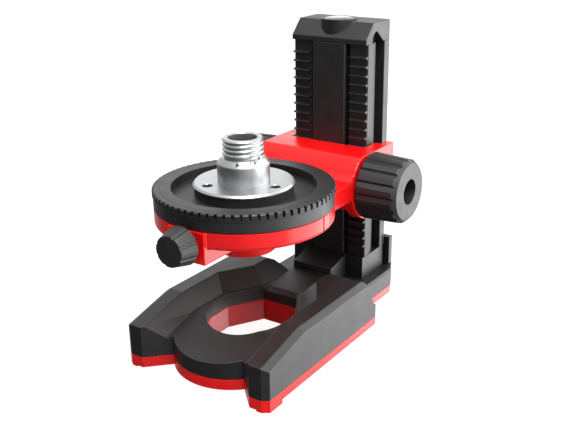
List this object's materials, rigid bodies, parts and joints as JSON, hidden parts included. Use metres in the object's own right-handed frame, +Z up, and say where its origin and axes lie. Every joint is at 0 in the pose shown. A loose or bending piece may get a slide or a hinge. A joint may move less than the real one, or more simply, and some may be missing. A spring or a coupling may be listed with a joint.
{
  "type": "laser level lift stand",
  "caption": "Tabletop lift stand: forked base, toothed column, knob-driven climbing carriage and a notched turntable with a hollow threaded stud for a laser level.",
  "frame": {"origin": "on the table plane, below the middle of the outer box", "axes": "+Z up, the front of the legs and the small knob face -Y, +X to the right of a viewer in front"},
  "size_m": [0.0858, 0.1294, 0.1251],
  "materials": {
    "black_plastic": "moulded, fine satin",
    "red_plastic": "smooth moulded, semi-gloss",
    "red_rubber": "soft moulded",
    "screw_steel": "plain steel",
    "cup_plastic": "moulded",
    "vial_glass": "clear",
    "vial_fluid": "tinted liquid",
    "acetal": "low-friction moulded",
    "brass": "machined",
    "nylon": "moulded",
    "shaft_steel": "ground",
    "knob_plastic": "soft-touch matte",
    "drive_rubber": "matte",
    "bright_metal": "turned, bright"
  },
  "bodies": {
    "base": {"base_shell": "black_plastic", "base_tray": "red_plastic", "base_feet": "red_rubber", "tray_screws": "screw_steel", "guard_plate": "black_plastic", "column": "black_plastic", "left_rack": "black_plastic", "right_rack": "black_plastic", "lower_stop": "black_plastic", "column_screws": "screw_steel", "column_head": "black_plastic", "vial_cup": "cup_plastic", "vial_glass": "vial_glass", "vial_fluid": "vial_fluid"},
    "carriage": {"carriage": "red_plastic", "dish": "red_plastic", "dish_hub": "red_plastic", "guide_blocks": "acetal", "guide_screws": "screw_steel", "shaft_bushes": "brass", "thrust_washer": "nylon", "fine_bush": "brass"},
    "drive": {"drive_shaft": "shaft_steel", "left_pinion": "brass", "right_pinion": "brass", "left_knob": "knob_plastic", "right_knob": "knob_plastic", "knob_screws": "screw_steel"},
    "turntable": {"turntable": "black_plastic", "spindle": "shaft_steel", "drive_track": "drive_rubber", "table_retainer": "shaft_steel", "stud": "bright_metal", "stud_screws": "screw_steel"},
    "fine_drive": {"fine_shaft": "shaft_steel", "drive_roller": "drive_rubber", "fine_knob": "knob_plastic", "fine_screw": "screw_steel"}
  },
  "joints": [
    {"name": "lift", "type": "slide", "parent": "base", "child": "carriage", "axis": [0, 0, 1], "range_m": [-0.02, 0.038]},
    {"name": "knob_turn", "type": "hinge", "parent": "carriage", "child": "drive", "pos_m": [0, 0.03435, 0.0597], "axis": [1, 0, 0], "range_deg": [-310, 170]},
    {"name": "turn", "type": "hinge", "parent": "carriage", "child": "turntable", "pos_m": [0, -0.0203, 0.0643], "axis": [0, 0, 1], "continuous": true},
    {"name": "fine_turn", "type": "hinge", "parent": "carriage", "child": "fine_drive", "pos_m": [0, -0.0463, 0.0588], "axis": [0, 1, 0], "continuous": true}
  ],
  "couplings": [
    {"joint": "knob_turn", "follows": "lift", "rad_per_m": -138.89},
    {"joint": "fine_turn", "follows": "turn", "ratio": 5.2525}
  ]
}
